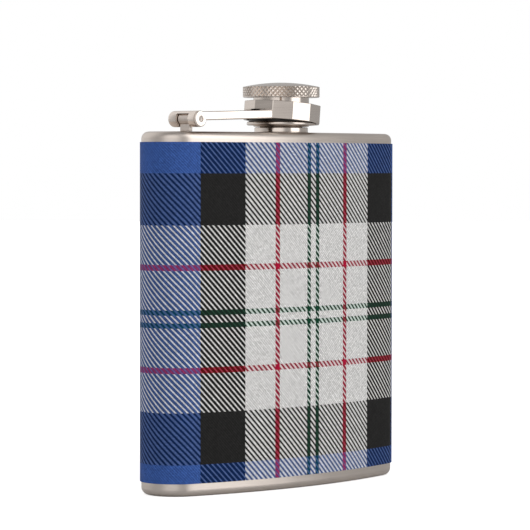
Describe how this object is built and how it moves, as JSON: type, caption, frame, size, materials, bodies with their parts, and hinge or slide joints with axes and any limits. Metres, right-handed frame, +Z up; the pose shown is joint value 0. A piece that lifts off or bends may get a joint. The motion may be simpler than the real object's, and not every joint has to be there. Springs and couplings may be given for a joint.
{
  "type": "hip flask",
  "caption": "Kidney-section hip flask in steel with a printed tartan wrap and a captive screw cap on a hinged arm.",
  "frame": {"origin": "centre of the base on the plane it stands on", "axes": "+Z up towards the cap, -Y towards the convex front face, +X away from the shoulder hinge"},
  "size_m": [0.095, 0.0257, 0.1151],
  "materials": {
    "satin_steel": "satin stainless steel, fine brushed grain",
    "polished_steel": "bright polished stainless steel",
    "knurled_steel": "diamond-knurled edge, turned top",
    "printed_wrap": "semi-gloss vinyl wrap printed with a woven tartan in blue, black, white, red and green",
    "dark_nylon": "dark nylon",
    "white_silicone": "soft white food-grade silicone"
  },
  "bodies": {
    "flask": {"body_shell": "satin_steel", "top_plate": "satin_steel", "base_plate": "satin_steel", "tartan_wrap": "printed_wrap", "neck_spout": "satin_steel", "hinge_post": "satin_steel"},
    "arm": {"arm_link": "polished_steel", "hinge_pin": "satin_steel", "collar_pin": "satin_steel"},
    "collar": {"collar": "polished_steel"},
    "seal": {"slip_washer": "dark_nylon", "cap_gasket": "white_silicone"},
    "cap": {"cap_barrel": "satin_steel", "cap_knob": "knurled_steel"}
  },
  "joints": [
    {"name": "arm_hinge", "type": "hinge", "parent": "flask", "child": "arm", "pos_m": [-0.038, -0.0022, 0.10426], "axis": [0, -1, 0], "range_deg": [0, 105]},
    {"name": "collar_pivot", "type": "hinge", "parent": "arm", "child": "collar", "pos_m": [-0.01095, -0.0022, 0.1059], "axis": [0, -1, 0], "range_deg": [0, 12]},
    {"name": "cap_rise", "type": "slide", "parent": "collar", "child": "seal", "axis": [0, 0, 1], "range_m": [0, 0.001]},
    {"name": "cap_turn", "type": "hinge", "parent": "seal", "child": "cap", "pos_m": [0, -0.00175, 0.1059], "axis": [0, 0, 1], "range_deg": [0, 360]}
  ],
  "couplings": [
    {"joint": "cap_rise", "follows": "cap_turn", "m_per_rad": 0.00015915}
  ]
}
